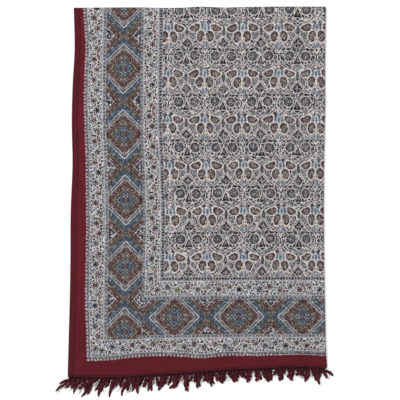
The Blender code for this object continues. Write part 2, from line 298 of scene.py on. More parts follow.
on_side_edge = (across == 0)[..., None]
rim_bulge = np.where(on_side_edge, np.array([-EDGE_ROUND, 0, 0]), 0)
sheet_points, sheet_faces, around = closed_sheet(printed_side, wrong_side, rim_bulge)
box_low, box_high = (np.array(corner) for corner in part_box("cloth"))
on_frame = np.array([
    box_low[0] - printed_side[..., 0].min(),
    box_high[1] - printed_side[..., 1].max(),
    0,
])
cloth = add_piece("printed_cloth", sheet_points + on_frame, sheet_faces)
print("cloth:", len(sheet_faces), "faces, volume", round(volume(sheet_points, sheet_faces) * 1e6), "cm3")
print("shift to the frame, mm:", np.round(on_frame / MM, 2))

# %% [markdown]
# A print belongs to the flat cloth and not to the fold, so it follows UV maps in millimetres. The map "print"
# is the place on the whole cloth, from one side edge and one fringed end. A printer sets block beside block
# by eye and damp cotton gives way, so the print wanders by some millimetres. Tables hold how far, beside the
# edge and deep in the cloth.

# %% Where the print lies
Drift = namedtuple("Drift", "along edge_mm deep_mm")
SIDE_DRIFT = table(  # inwards from the long side, from the fringed end up to the crease
    Drift, (0.00, 5, 0), (0.10, 3, 0), (0.20, -1, 1), (0.31, 1, 2.5), (0.41, 2, 5), (0.50, 1.5, 3.2),
    (0.58, 1, 1), (0.66, -2, -3), (0.75, -4.5, -3.5), (0.84, -2, -3), (0.91, 0, -2), (0.96, -3.5, -1),
    (1.00, -7, -1),
)
END_DRIFT = table(  # inwards from the fringed end, from the side edge across to the crease
    Drift, (0.00, -10, -5), (0.16, -9, -4), (0.24, -2, -3), (0.32, 2.5, 0), (0.44, 1.5, 2), (0.52, -3, 3),
    (0.60, 3, 3.5), (0.75, 4, 4.2), (0.90, 7, 4), (1.00, 4, 4),
)
EDGE_KEEPS = 50 * MM  # how far in the edge's drift holds, and how far further it gives way to the deep one
EDGE_FADES = 45 * MM
BUNDLE_ARC, CREASE_ARC = math.pi * BUNDLE_RADIUS, math.pi * CREASE_RADIUS
CREASE_BLEND = 0.15  # share of a quarter over which the map is stretched to meet the crease


def flat_distance(place, share, turn, quarter, arc, fold_start, drifts, along, dies_out):
    """Distance over the flat cloth: the plan place, blended to meet the crease, and on round the fold."""
    meet_crease = ease((share - 1) / CREASE_BLEND + 1)
    inwards = place + (quarter - arc / 2 - fold_start) * meet_crease
    edge = curve(drifts, "edge_mm", along) * MM
    deep = curve(drifts, "deep_mm", along) * MM * (1 - dies_out * share)
    drift = edge + (deep - edge) * ease((inwards - EDGE_KEEPS) / EDGE_FADES)
    inwards = inwards - drift * (1 - meet_crease)
    round_fold = quarter + arc * (turn / math.pi - 0.5)
    return np.where(turn <= 0, inwards, np.where(turn >= math.pi, 2 * quarter - inwards, round_fold))


side, fold_x = side_x(along), bundle_x(along)
end, fold_y = fringed_y(across), crease_y(across)
print_x = flat_distance(
    side + (fold_x - side) * across, across, bundle_turn, QUARTER_WIDTH, BUNDLE_ARC, fold_x,
    SIDE_DRIFT, along, dies_out=0,
)
print_y = flat_distance(
    end + (fold_y - end) * along, along, crease_turn, QUARTER_LENGTH, CREASE_ARC, fold_y,
    END_DRIFT, across, dies_out=1,
)


def both_skins(grid):
    """One row of values for each vertex of the closed sheet: two skins and the rim's middle line."""
    flat = grid.reshape(across.size, -1)
    return np.concatenate([flat, flat, flat[around]])


print_map = both_skins(np.stack([print_x, print_y], axis=-1)) / MM
add_uv(cloth.data, "print", print_map)
add_value(cloth.data, "from_side", both_skins(from_side / MM)[:, 0])
inside_out = np.concatenate([np.zeros(across.size), np.ones(across.size), np.full(len(around), 0.5)])
add_value(cloth.data, "wrong_side", inside_out)
print("the print runs to", np.round(print_map.max(0)), "mm")

# %% [markdown]
# A material here is a long sum, so it is written as one. A socket is wrapped in a small class whose operators
# add Math nodes, and one method adds any other node from its type, its settings and its inputs. The same
# pattern drawn as an image would be quicker to show, but it would have a fixed sharpness.

# %% Sockets in Python sums


def math_node(operation, swapped=False):
    """An operator's method: it adds the Math node of two values, swapped where the socket stands second."""

    def method(self, other):
        return self.math(operation, *((other, self) if swapped else (self, other)))

    return method


class Term:
    """A shader socket that can stand in a sum: each operator adds the Math node that works it out."""

    def __init__(self, recipe, socket):
        self.recipe = recipe
        self.socket = socket

    def math(self, operation, *values):
        return self.recipe.add("Math", {"operation": operation}, dict(enumerate(values)))

    def vector(self, operation, *values, output=0):
        return self.recipe.add("VectorMath", {"operation": operation}, dict(enumerate(values)), output)

    def __abs__(self):
        return self.math("ABSOLUTE", self)

    __add__ = __radd__ = math_node("ADD")
    __sub__, __rsub__ = math_node("SUBTRACT"), math_node("SUBTRACT", swapped=True)
    __mul__ = __rmul__ = math_node("MULTIPLY")
    __truediv__, __pow__ = math_node("DIVIDE"), math_node("POWER")
    __lt__, __gt__ = math_node("LESS_THAN"), math_node("GREATER_THAN")


print("operators that make nodes:", "+ - * / ** abs < >")

# %% A material as a recipe
CLOTH_SPECULAR = 0.15


class Recipe:
    """One material and its nodes."""

    def __init__(self, name, roughness, sheen):
        self.material = bpy.data.materials.new(name)
        self.material.use_nodes = True
        self.nodes = self.material.node_tree.nodes
        self.links = self.material.node_tree.links
        self.shader = self.nodes["Principled BSDF"]
        self.shader.inputs["Roughness"].default_value = roughness
        self.shader.inputs["Sheen Weight"].default_value = sheen
        self.shader.inputs["Specular IOR Level"].default_value = CLOTH_SPECULAR

    def add(self, kind, settings, inputs, output=0):
        """A node of a kind, set up first and then fed with numbers, colours or other sockets."""
        node = self.nodes.new("ShaderNode" + kind)
        for name, value in settings.items():
            if name == "stops":
                self.set_stops(node.color_ramp, value)
            else:
                setattr(node, name, value)
        for key, value in inputs.items():
            self.feed(node.inputs[key], value)
        return Term(self, node.outputs[output])

    def feed(self, socket, value):
        if isinstance(value, Term):
            self.links.new(value.socket, socket)
        else:
            socket.default_value = value

    def set_stops(self, ramp, stops):
        """A ramp's colours, each from its place on: (place, colour)."""
        ramp.interpolation = "CONSTANT"
        while len(ramp.elements) < len(stops):
            ramp.elements.new(1)
        for element, (place, colour) in zip(ramp.elements, stops):
            element.position = place
            element.color = colour

    def uv(self, name):
        """A vertex's place in a UV map."""
        return self.add("UVMap", {"uv_map": name}, {})

    def value(self, name):
        """The number that add_value gave a vertex."""
        return self.add("Attribute", {"attribute_name": name}, {}, output="Fac")


print("a recipe makes one material, with a specular level of", CLOTH_SPECULAR)

# %% [markdown]
# The dyes are named once, as they look in even light. A vat-dyed cotton never has pure colours, and where a
# block pressed lightly the ground shows through. A shape is drawn by a number that is 1 on its outline and
# grows outwards, so the same number gives a cream halo, a body and a core.

# %% Dyes
WHITE_LEVEL = 1.4  # how bright the studio light makes a white surface


def dye(red, green, blue):
    """A colour as it looks in the light here, 0 to 255, turned into what the cloth reflects."""
    looks = np.array([red, green, blue]) / 255
    linear = np.where(looks <= 0.04045, looks / 12.92, ((looks + 0.055) / 1.055) ** 2.4)
    return (*(linear / WHITE_LEVEL), 1)


DYES = {
    "ground": dye(134, 134, 142),
    "cream": dye(220, 214, 212),
    "white": dye(226, 225, 229),
    "line": dye(172, 173, 179),
    "light_grey": dye(148, 146, 151),
    "grey": dye(102, 105, 112),
    "taupe": dye(126, 112, 110),
    "brown": dye(80, 58, 57),
    "umber": dye(132, 114, 108),
    "mottled": dye(78, 77, 83),
    "russet": dye(104, 66, 60),
    "dark": dye(28, 29, 35),
    "navy": dye(54, 64, 84),
    "blue": dye(66, 97, 126),
    "steel": dye(86, 112, 133),
    "pale_blue": dye(148, 164, 177),
    "teal": dye(68, 90, 94),
    "olive": dye(102, 96, 79),
    "ochre": dye(122, 109, 86),
    "straw": dye(200, 174, 148),
    "mauve": dye(104, 86, 94),
    "red": dye(108, 52, 53),
    "bead": dye(186, 168, 171),
    "beside_bead": dye(82, 56, 62),
    "maroon": dye(99, 23, 34),
    "hem": dye(92, 21, 32),
    # dark maroon of the stitches and of the painted shadow along the hem's inner edge; the mottle uses it too
    "stitch": dye(60, 13, 23),
    "bright_maroon": dye(104, 26, 37),
}
print("dyes:", len(DYES))

# %% Shapes


def cover(size, edge, soft):
    """1 inside a shape and 0 outside: the size number falls through its edge over a soft width."""
    limits = {"Value": size, "From Min": edge - soft, "From Max": edge + soft, "To Min": 1.0, "To Max": 0.0}
    return size.recipe.add("MapRange", {}, limits)


def paint(ground, mask, ink):
    """A colour laid over another where the mask is 1. Each is a dye's name, a colour or a socket."""
    inputs = {0: mask, 6: DYES.get(ground, ground), 7: DYES.get(ink, ink)}
    return mask.recipe.add("Mix", {"data_type": "RGBA"}, inputs, output=2)


def fill(ground, size, edge, soft, ink):
    """A whole shape in one ink over the ground."""
    return paint(ground, cover(size, edge, soft), ink)


def picked(value, inks):
    """A dye for a value between 0 and 1, each from its own place on: (place, ink)."""
    return value.recipe.add("ValToRGB", {"stops": [(place, DYES[ink]) for place, ink in inks]}, {0: value})


def pair(first, second):
    """A vector of two numbers."""
    return first.recipe.add("CombineXYZ", {}, {0: first, 1: second})


def apart(point):
    """A vector's first two parts."""
    first = point.recipe.add("SeparateXYZ", {}, {0: point})
    return first, Term(first.recipe, first.socket.node.outputs[1])


def wrapped(value, first, period):
    """A distance wrapped into one repeat, 0 at the repeat's own middle."""
    return value.math("WRAP", value - first, period * 0.5, period * -0.5)


def oval(point):
    """The distance from the middle, in a frame scaled so that the outline is at 1."""
    return point.vector("LENGTH", point, output="Value")


def leaf(point):
    """Across plus along squared: two bows that meet in points."""
    x, y = apart(point)
    return abs(x) + y * y


def bean(point, taper, bend):
    """An oval, narrower towards +y by taper and bent sideways by bend times y squared."""
    x, y = apart(point)
    squared = y * y
    narrow = (x + squared * bend) / (1 - y * taper)
    return (narrow * narrow + squared) ** 0.5


def petals(point, count, depth):
    """The distance from the middle over a wavy radius: 1 + depth times the cosine of count angles."""
    x, y = apart(point)
    wave = y.math("COSINE", y.math("ARCTAN2", y, x) * float(count))
    return oval(point) / (1 + wave * depth)


def tent(point):
    """A triangle with its point up: the steeper of the two sloping sides' and the base's distances."""
    x, y = apart(point)
    return y.math("MAXIMUM", abs(x) + (y + 1) * 0.5, 0 - y)


def lozenge(point):
    """Across plus along, both to a power below 1, which draws the sides in."""
    x, y = apart(point)
    return abs(x) ** 0.8 + abs(y) ** 0.8


SHAPES = {
    "oval": oval,
    "leaf": leaf,
    "bean": lambda point: bean(point, taper=0.12, bend=-0.12),
    "wing": lambda point: bean(point, taper=0.1, bend=0.36),
    "tent": tent,
    "lozenge": lozenge,
    "cross": lambda point: petals(point, count=4, depth=0.45),
    "star": lambda point: petals(point, count=8, depth=0.34),
    "rosette": lambda point: petals(point, count=11, depth=0.06),
}
print("shapes:", ", ".join(SHAPES))

# %% [markdown]
# Motifs are listed in small tables, a row for each: where it lies from the block's own middle, its half
# sizes, its turn, and its colours. A Mapping node set to Texture moves the point into the motif's own frame,
# where its outline has size 1. The printer lays a cream outline first, then the body, then its core.

# %% Drawing a table of motifs
Motif = namedtuple("Motif", "shape across up wide tall turn halo_mm body core", defaults=[None])
SOFT_MM = 0.45  # of a printed edge
CORE = 0.55  # a core's size, as a share of its motif's
Marks = namedtuple("Marks", "pitch size strength inks")  # mm, and sizes as shares of the pitch
MARK_SCATTER, MARK_SOFT = 0.85, 0.06  # how far the marks stray from a grid, and how soft their edges are


def draw(ground, point, motifs):
    """Lays each motif over the ground, the first at the bottom. A body or core is a dye or a socket."""
    for motif in motifs:
        settings = {
            "Vector": point,
            "Location": (motif.across, motif.up, 0),
            "Rotation": (0, 0, math.radians(motif.turn)),
            "Scale": (motif.wide, motif.tall, 1),
        }
        own = point.recipe.add("Mapping", {"vector_type": "TEXTURE"}, settings)
        size = SHAPES[motif.shape](own)
        small = min(motif.wide, motif.tall)
        halo = "cream" if motif.halo_mm else None
        for edge, ink in ((1 + motif.halo_mm / small, halo), (1, motif.body), (CORE, motif.core)):
            if ink is not None:
                ground = fill(ground, size, edge, SOFT_MM / small, ink)
    return ground


def specks(ground, point, marks):
    """Small marks, one in each cell of a scattered grid, in a colour picked by the cell."""
    cells = {"Vector": point, "Scale": 1 / marks.pitch, "Randomness": MARK_SCATTER}
    away = point.recipe.add("TexVoronoi", {"voronoi_dimensions": "2D"}, cells)
    chance, _ = apart(Term(point.recipe, away.socket.node.outputs["Color"]))
    mask = cover(away, marks.size, MARK_SOFT) * marks.strength
    return paint(ground, mask, picked(chance, marks.inks))


print("a motif's columns:", ", ".join(Motif._fields))

# %% [markdown]
# The field is one block printed over and over. A block is symmetric about its middle column and about the
# column between two blocks, so the distance from the column is taken without its sign. Two groups fill it:
# beans, leaves and a bud on the middle column, and lozenges, rosettes and tents on the column between. An
# ogee lattice of two cream lines with a dark one between them parts the groups.

# %% The field's block
REPEAT_ACROSS, REPEAT_ALONG = 108.4, 135.0  # mm
FIELD_COLUMN, FIELD_ROW = 508.2, 979.8  # mm over the cloth to one block's lower beans
STAR_ROW = FIELD_ROW - 59.7
LATTICE_RISE = 7.1
BEAN_GROUP = table(
    Motif,
    ("leaf", 54.2, 15, 5.2, 16, 0, 1.2, "dark", "mottled"),
    ("leaf", 32.4, 36.2, 3.2, 13, 38, 1.4, "dark"),
    ("leaf", 27.5, -14, 2.8, 10, 44, 1.4, "dark"),
    ("leaf", 38.5, 1, 6, 12.5, -32, 1.8, "dark", "ground"),
    ("leaf", 0, -6, 4.6, 15, 0, 1.2, "straw"),
    ("bean", 14.1, 0, 11.2, 16.6, 188, 3, "brown", "umber"),
    ("bean", 13.6, 1, 3.4, 8.5, 172, 0, "mottled", "ground"),
    ("oval", 3.8, -9, 1.8, 4, -14, 1.4, "ochre"),
    ("wing", 29.8, 24.2, 10.6, 15.8, -110, 3, "brown", "umber"),
    ("oval", 27.5, 25, 3, 5.6, -95, 0, "mottled", "light_grey"),
    ("leaf", 8.8, 26, 2.2, 11, 6, 0, "steel"),
    ("oval", 0, 25, 5.2, 12, 0, 1.2, "pale_blue", "grey"),
    ("oval", 0, 45.5, 4.4, 3.4, 0, 0, "cream"),
    ("star", 0, 52.5, 5.4, 5.4, 0, 1.4, "red", "cream"),
    ("oval", 19.7, 60.3, 3.6, 3.6, 0, 1.6, "dark"),
    ("oval", 29.4, 58.8, 3.4, 3.4, 0, 1.4, "navy", "steel"),
    ("leaf", 7.8, 61, 3, 6.5, -30, 1.4, "navy"),
    ("leaf", 5.4, -27, 3.2, 7.6, -28, 1.2, "steel"),
    ("oval", 18, -24.5, 4, 4, 0, 1.8, "brown", "taupe"),
    ("leaf", 14.6, -38, 4.4, 7.5, -66, 1.6, "dark"),
    ("leaf", 7.4, -50, 3.4, 7, -74, 1.4, "dark"),
    ("oval", 0, -38, 3, 4, 0, 1.2, "russet"),
)
STAR_GROUP = table(
    Motif,
    ("lozenge", 0, 39.6, 17.5, 19.5, 0, 2.4, "dark"),
    ("cross", 0, 39.6, 6.4, 6.4, 0, 0, "taupe", "ground"),
    ("leaf", 11, 21.5, 5, 12, -52, 1.4, "dark", "mottled"),
    ("leaf", 27, 22, 4.2, 10, 82, 1.4, "dark"),
    ("leaf", 0, 20, 3.2, 8.5, 0, 1.4, "dark", "steel"),
    ("tent", 0, -8, 12, 14, 0, 2.8, "dark"),
    ("oval", 0, -10, 2.6, 6.5, 0, 0, "umber"),
    ("leaf", 0, -26.5, 3.4, 13, 90, 1.8, "dark"),
    ("leaf", 9, -31.5, 4, 8.5, -66, 1.6, "grey"),
    ("oval", 0, -38.5, 3, 3, 0, 1.5, "dark"),
    ("oval", 24, -18, 3.4, 3.4, 0, 1.3, "dark"),
    ("leaf", 40, 12, 3.4, 9, 40, 1.3, "dark"),
    ("leaf", 15, -17, 3.4, 8, 36, 1.3, "dark"),
)
ROSETTE = Motif("rosette", 24, 2.6, 14.4, 14.4, 0, 1.9, "mottled")
ROSETTE_PETALS = 12
PETAL_RING, PETAL_REACH, PETAL_HALF = 11.5, 1.6, 0.4  # mm: a ring of short strokes between the petals
HEART_DARK, HEART_PALE = 4.4, 1.9  # mm: the rosette's middle
LATTICE_PALE, LATTICE_DARK = 4.2, 1.7  # mm: half the width of each line
FIELD_MARKS = Marks(6.4, 0.56, 1.0, (
    (0, "dark"), (0.34, "navy"), (0.46, "olive"), (0.56, "grey"), (0.74, "brown"), (0.86, "cream"),
))
FINE_MARKS = Marks(4.8, 0.34, 0.52, (  # over the field and the narrow strips
    (0, "dark"), (0.34, "grey"), (0.48, "cream"), (0.78, "navy"), (0.86, "ground"),
))
print("motifs in a block:", len(BEAN_GROUP) + len(STAR_GROUP) + 1)

# %% Drawing the field


def lattice(ground, across, up):
    """Lines at a quarter repeat times 1 plus the cosine of the way up, and the distance square to them."""
    angle = (up - LATTICE_RISE) * (2 * math.pi / REPEAT_ALONG)
    reach = REPEAT_ACROSS / 4
    line = (1 + up.math("COSINE", angle)) * reach
    slope = up.math("SINE", angle) * (reach * 2 * math.pi / REPEAT_ALONG)
    away = abs(abs(across) - line) / (1 + slope * slope) ** 0.5
    for half_width, ink in ((LATTICE_PALE, "cream"), (LATTICE_DARK, "dark")):
        ground = fill(ground, away, half_width, 0.5, ink)
    return ground


def rosette_heart(ground, point):
    """Strokes round a ring, where the distance from it is below the petals' cosine, and an eye."""
    x, y = apart(point.vector("SUBTRACT", point, (ROSETTE.across, ROSETTE.up, 0)))
    reach = (x * x + y * y) ** 0.5
    petal = y.math("COSINE", y.math("ARCTAN2", y, x) * float(ROSETTE_PETALS))
    ground = fill(ground, abs(reach - PETAL_RING) - petal * PETAL_REACH, PETAL_HALF, 0.7, "dark")
    for radius, ink in ((HEART_DARK, "dark"), (HEART_PALE, "cream")):
        ground = fill(ground, reach, radius, 0.8, ink)
    return ground


def field(place):
    """The whole field's colour at a place on the cloth, in mm."""
    x, y = apart(place)
    across = wrapped(x, FIELD_COLUMN, REPEAT_ACROSS)
    up = wrapped(y, FIELD_ROW, REPEAT_ALONG)
    colour = lattice(specks("ground", place, FIELD_MARKS), across, up)
    away = abs(across)
    colour = draw(colour, pair(away, up), BEAN_GROUP)
    beside_star = pair(REPEAT_ACROSS / 2 - away, wrapped(y, STAR_ROW, REPEAT_ALONG))
    two_dyes = paint("taupe", across > 0, "grey")
    colour = draw(colour, beside_star, [*STAR_GROUP, ROSETTE._replace(core=two_dyes)])
    return rosette_heart(colour, beside_star)


print("a block of the field:", REPEAT_ACROSS, "by", REPEAT_ALONG, "mm")

# %% [markdown]
# Inside the maroon edge run narrow and wide strips, the same along the sides and the ends but for a few
# millimetres. One table says where each ends. In the UV map "bands", the distances from the end are stretched
# to those from the side, so that the shader draws every strip once. Corners are mitred, except that the
# diamonds of the long side run on to the corner, and those of the end stop against them.

# %% The border's strips
Strip = namedtuple("Strip", "name side_mm end_mm ink")
STRIPS = table(  # from the edge inwards: where each strip ends, and its ground
    Strip,
    ("hem", 45.0, 37.5, "maroon"),
    ("beads", 51.8, 45.2, "beside_bead"),
    ("pale line", 53.4, 46.9, "light_grey"),
    ("dark line", 55.2, 48.8, "grey"),
    ("light line", 58.7, 52.9, "line"),
    ("outer flowers", 97.0, 90.8, "white"),
    ("second line", 99.8, 93.4, "line"),
    ("outer dots", 109.8, 103.0, "light_grey"),
    ("diamonds", 210.8, 205.6, "steel"),
    ("inner dots", 218.3, 216.4, "light_grey"),
    ("third line", 221.2, 219.0, "line"),
    ("inner flowers", 260.6, 258.6, "white"),
    ("fourth line", 263.4, 261.3, "line"),
    ("dashes", 275.0, 271.2, "light_grey"),
)
BORDER_END = STRIPS[-1].side_mm
RAMP_END = 300  # mm, at the ramp's far end


def span(name):
    """Where a strip starts and ends, in mm from the side edge."""
    i = [strip.name for strip in STRIPS].index(name)
    return STRIPS[i - 1].side_mm, STRIPS[i].side_mm


def middle_of(name):
    return sum(span(name)) / 2


half = np.array([QUARTER_WIDTH, QUARTER_LENGTH]) / MM
side_places = [-RAMP_END, *(strip.side_mm for strip in STRIPS), BORDER_END + half[1]]
end_places = [-RAMP_END, *(strip.end_mm for strip in STRIPS), STRIPS[-1].end_mm + half[1]]
bands_map = half - np.abs(print_map - half)
bands_map[:, 1] = np.interp(bands_map[:, 1], end_places, side_places)
add_uv(cloth.data, "bands", bands_map)


def between(value, low, high):
    """1 where a value lies between two others."""
    return (value > low) * (value < high)


def chosen(value, other, mask):
    """The other value where the mask is 1."""
    return value + (other - value) * mask


def border_places(place, bands):
    """For each point: the distance from the border's outer edge, the place along it, and 1 on a long side."""
    from_side, from_end = apart(bands)
    x, y = apart(place)
    nearest = from_side.math("MINIMUM", from_side, from_end)
    column = between(from_side, span("outer dots")[0], span("diamonds")[1])
    column = column * (nearest > span("outer dots")[0])
    on_side = column.math("MAXIMUM", column, from_side < from_end)
    return chosen(nearest, from_side, column), chosen(x, y, on_side), on_side


print("strips:", len(STRIPS))

# %% [markdown]
# The flower bands repeat a block of 240 mm. A stem winds down the band, with a star flower in each of its
# bays, in a dye picked by a hash of the bay's number. Between the flowers lie leaves and buds, and an oval, a
# bar and two leaves where one block meets the next.

# %% Flower bands
BAY = 30  # mm
BLOCK_BAYS = 8
OUTER_MIDDLE, INNER_MIDDLE = middle_of("outer flowers"), middle_of("inner flowers")
FIRST_JOINT = {"outer side": 208.8, "outer end": 289.9, "inner side": 282.3, "inner end": 210.2}
VINE_SWING, VINE_HALF, VINE_HALO = 8.5, 1.2, 1.2
FLOWER_INKS = (
    (0, "brown"), (0.36, "dark"), (0.46, "navy"), (0.55, "mottled"), (0.72, "brown"), (0.9, "olive"),
)
FLOWER = Motif("star", 0, 4.5, 8.6, 8.6, 0, 2.6, None)  # its dye is picked for each bay
FLOWER_EYE = Motif("oval", 0, 4.5, 2, 2, 0, 0, "dark")
INNER_HASH, SIDE_HASH = 71, 37  # added to a bay's number, so that no two bands have the same flowers
BAND_MARKS = Marks(6.0, 0.5, 1.0, (
    (0, "dark"), (0.4, "navy"), (0.5, "steel"), (0.6, "mottled"), (0.7, "brown"), (0.8, "grey"),
))
BAY_GROUP = table(
    Motif,
    ("leaf", 9.5, -7, 3.2, 8, -48, 1.6, "steel"),
    ("leaf", -8.5, -9, 3.4, 8, 40, 1.6, "dark"),
    ("bean", -14.5, 3, 5, 7.4, 14, 2, "mottled", "taupe"),
    ("leaf", 13, 9, 3.4, 7.5, 20, 1.4, "dark"),
    ("leaf", -7, 15.5, 3, 6.5, -56, 1.2, "navy"),
    ("oval", 3.5, -15.5, 3.4, 3.4, 0, 1.4, "brown"),
    ("leaf", 5.5, 16.4, 3, 5.5, 64, 1.2, "teal"),
)
JOINT_GROUP = table(
    Motif,
    ("oval", 0, -12, 7, 6, 0, 1.6, "blue", "steel"),
    ("leaf", 0, -2, 2.8, 17, 0, 1.4, "dark"),
    ("leaf", 8.5, 9, 5, 11.5, -64, 1.8, "brown", "umber"),
    ("leaf", -8.5, 9, 5, 11.5, 64, 1.8, "brown", "umber"),
)


def flowers(distance, along, on_side):
    """The colour of both flower bands."""
    inner = distance > (OUTER_MIDDLE + INNER_MIDDLE) / 2
    outer_first = chosen(FIRST_JOINT["outer end"], FIRST_JOINT["outer side"], on_side)
    inner_first = chosen(FIRST_JOINT["inner end"], FIRST_JOINT["inner side"], on_side)
    from_joint = along - chosen(outer_first, inner_first, inner)
    aside = distance - chosen(OUTER_MIDDLE, INNER_MIDDLE, inner)
    bay = from_joint.math("FLOOR", from_joint / BAY)
    odd = bay.math("FLOORED_MODULO", bay, 2.0)
    in_bay = from_joint - (bay + 0.5) * BAY
    up = aside * (1 - odd * 2)
    colour = specks("white", pair(from_joint, aside), BAND_MARKS)
    vine = abs(up + up.math("COSINE", in_bay * (math.pi / BAY)) * VINE_SWING)
    for half_width, ink in ((VINE_HALF + VINE_HALO, "cream"), (VINE_HALF, "olive")):
        colour = fill(colour, vine, half_width, 0.4, ink)
    number = bay + inner * INNER_HASH + on_side * SIDE_HASH
    chance = bay.recipe.add("TexWhiteNoise", {"noise_dimensions": "1D"}, {"W": number})
    flower = FLOWER._replace(body=picked(chance, FLOWER_INKS))
    colour = draw(colour, pair(in_bay, up), [*BAY_GROUP, flower, FLOWER_EYE])
    return draw(colour, pair(wrapped(from_joint, 0, BAY * BLOCK_BAYS), aside), JOINT_GROUP)


print("bays in a block:", BLOCK_BAYS)

# %% [markdown]
# The widest strip holds diamonds within diamonds. The sum of the distances along and across from a diamond's
# middle is the same all along each of its rings, so a ramp over that sum gives every ring its dye. Longish
# marks follow the rings, because they are placed by that sum and by the difference, and smaller ones lie over
# the plain cloth. Soft dark lines along the rings stand for the strokes of the carver's knife.

# %% Diamonds
DIAMOND_PERIOD = {"side": 193.1, "end": 188.6}  # mm
DIAMOND_FIRST = {"side": 307.8, "end": 306.8}
RING_REACH = 160  # mm, at the ramp's far end
RINGS = (  # from the middle out: where each ring starts, and its dye
    (0, "umber"), (5, "mauve"), (9, "dark"), (11, "mauve"), (14.5, "blue"), (18, "steel"), (26, "teal"),
    (29, "dark"), (31, "ochre"), (36, "olive"), (40, "taupe"), (42, "red"), (49, "brown"), (53, "red"),
    (58, "taupe"), (60.4, "cream"), (64.2, "grey"), (70.4, "white"), (74.2, "steel"), (80, "blue"),
    (86, "steel"), (90, "mottled"), (95, "olive"), (100, "ochre"), (104, "red"), (111, "brown"),
    (117, "red"), (121.4, "cream"), (124.8, "grey"),
)
RING_INKS = ((0, "dark"), (0.34, "ground"), (0.52, "navy"), (0.6, "cream"), (0.74, "russet"), (0.86, "olive"))
RING_MARKS = Marks(4.6, 0.42, 0.68, RING_INKS)  # placed along the rings
PLAIN_MARKS = Marks(3.6, 0.4, 0.34, RING_INKS)  # placed over the plain cloth
CORNER_MARKS = Marks(4.8, 0.5, 0.9, ((0, "dark"), (0.42, "white"), (0.62, "ground"), (0.8, "navy")))
HATCH_PITCH, HATCH_DARK = 9.6, 0.44  # mm between the lines cut along the rings, and how dark they are
RING_STRETCH = 0.75  # the marks are longer along the rings


def diamonds(distance, along, on_side):
    """The colour of the strip of diamonds."""
    first = chosen(DIAMOND_FIRST["end"], DIAMOND_FIRST["side"], on_side)
    period = chosen(DIAMOND_PERIOD["end"], DIAMOND_PERIOD["side"], on_side)
    from_middle = abs(wrapped(along, first, period))
    aside = abs(distance - middle_of("diamonds"))
    ring = from_middle + aside
    colour = picked(ring / RING_REACH, [(start / RING_REACH, ink) for start, ink in RINGS])
    colour = specks(colour, pair(ring, (from_middle - aside) * RING_STRETCH), RING_MARKS)
    here = pair(distance, along)
    colour = specks(colour, here, PLAIN_MARKS)
    hatch = ring.math("SINE", ring * (2 * math.pi / HATCH_PITCH)) * 0.5 + 0.5
    colour = paint(colour, hatch * HATCH_DARK, "dark")
    return paint(colour, ring > RINGS[-1][0], specks(colour, here, CORNER_MARKS))


print("rings:", len(RINGS))

# %% [markdown]
# Narrow strips hold a row of beads, two rows of dots and a row of dashes, each a small oval on a grid of its
# own pitch. Mid end the beads' ink ran together, so there the strip is one pale line.

# %% Rows of dots
Row = namedtuple("Row", "middle pitch across along ink")
ROWS = table(
    Row,
    (48.6, 10.2, 2.9, 3.2, "bead"),
    (104.8, 11.0, 2.9, 3.0, "mottled"),
    (214.4, 11.0, 2.7, 3.0, "mottled"),
    (269.6, 8.6, 4.0, 2.9, "dark"),
)
SMEAR_START = 600  # mm from either side edge, where the smeared stretch of beads begins
SMEAR_LINE, SMEAR_HALF = 47.6, 0.9  # mm from the end to the middle of the pale line, and half its width


def rows_of_dots(ground, distance, along, on_side):
    """Every row's ovals, by the distance from the row's middle and from the nearest one's place."""
    for row in ROWS:
        aside = (distance - row.middle) / row.across
        step = wrapped(along, 0, row.pitch) / row.along
        size = (aside * aside + step * step) ** 0.5
        ground = fill(ground, size, 1, SOFT_MM / row.across, row.ink)
    smeared = between(along, SMEAR_START, CLOTH_WIDTH / MM - SMEAR_START) * (1 - on_side)
    ground = paint(ground, between(distance, *span("beads")) * smeared, "beside_bead")
    return paint(ground, cover(abs(distance - SMEAR_LINE), SMEAR_HALF, 0.5) * smeared, "bead")


print("rows of dots:", len(ROWS))

# %% [markdown]
# Now the cloth's own material. The print's place is first shaken a little, as carved blocks never repeat
# exactly, then field, strips, flowers, dots and diamonds are laid over each other. Ink that soaked in
# unevenly, a paler wrong side and the plain weave are the same for every dye, so they come last.

# %% Noise, plain edge and weave
SHAKE_MM = ((0.012, 5.0), (0.11, 1.5))  # of the print: how fine, and how far
WEAVE_PITCH, WEAVE_HEIGHT = 0.9, 0.35  # mm from thread to thread, and their height beside the slubs
SLUB_SCALE = 0.9
SLUB_SQUEEZE = ((1, 1 / 12, 1), (1 / 12, 1, 1))  # long along the warp, and long along the weft
STITCH_SHADOW_HALF = 1.2  # mm
MOTTLE_SCALE, MOTTLE_DARK = 0.16, 0.2  # of the plain edge


def noise(place, scale, detail=2.0, output=0):
    """Smooth noise between 0 and 1 over the cloth, in mm."""
    settings = {"Vector": place, "Scale": scale, "Detail": detail}
    return place.recipe.add("TexNoise", {"noise_dimensions": "2D"}, settings, output)


def shaken(place):
    """A place moved by smooth noise, coarse and fine."""
    for scale, reach in SHAKE_MM:
        cloud = noise(place, scale, detail=0.0, output="Color")
        shift = cloud.vector("SUBTRACT", cloud, (0.5, 0.5, 0.5))
        place = shift.vector("MULTIPLY_ADD", shift, (reach, reach, 0), place)
    return place


def plain_edge(flat, from_side):
    """The unprinted maroon: the turned hem, its row of stitches with a painted shadow of the hem's inner
    edge, and a brighter stretch inside it.
    """
    hem = HEM_WIDTH / MM
    colour = paint("maroon", between(from_side, hem, STRIPS[0].side_mm), "bright_maroon")
    colour = paint(colour, from_side < hem, "hem")
    # a dark line along the stitches: partly the stitching, partly a painted shadow of the hem's turned inner
    # edge
    colour = fill(colour, abs(from_side - hem), STITCH_SHADOW_HALF, 1.0, "stitch")
    return paint(colour, cover(noise(flat, MOTTLE_SCALE), 0.46, 0.12) * MOTTLE_DARK, "stitch")


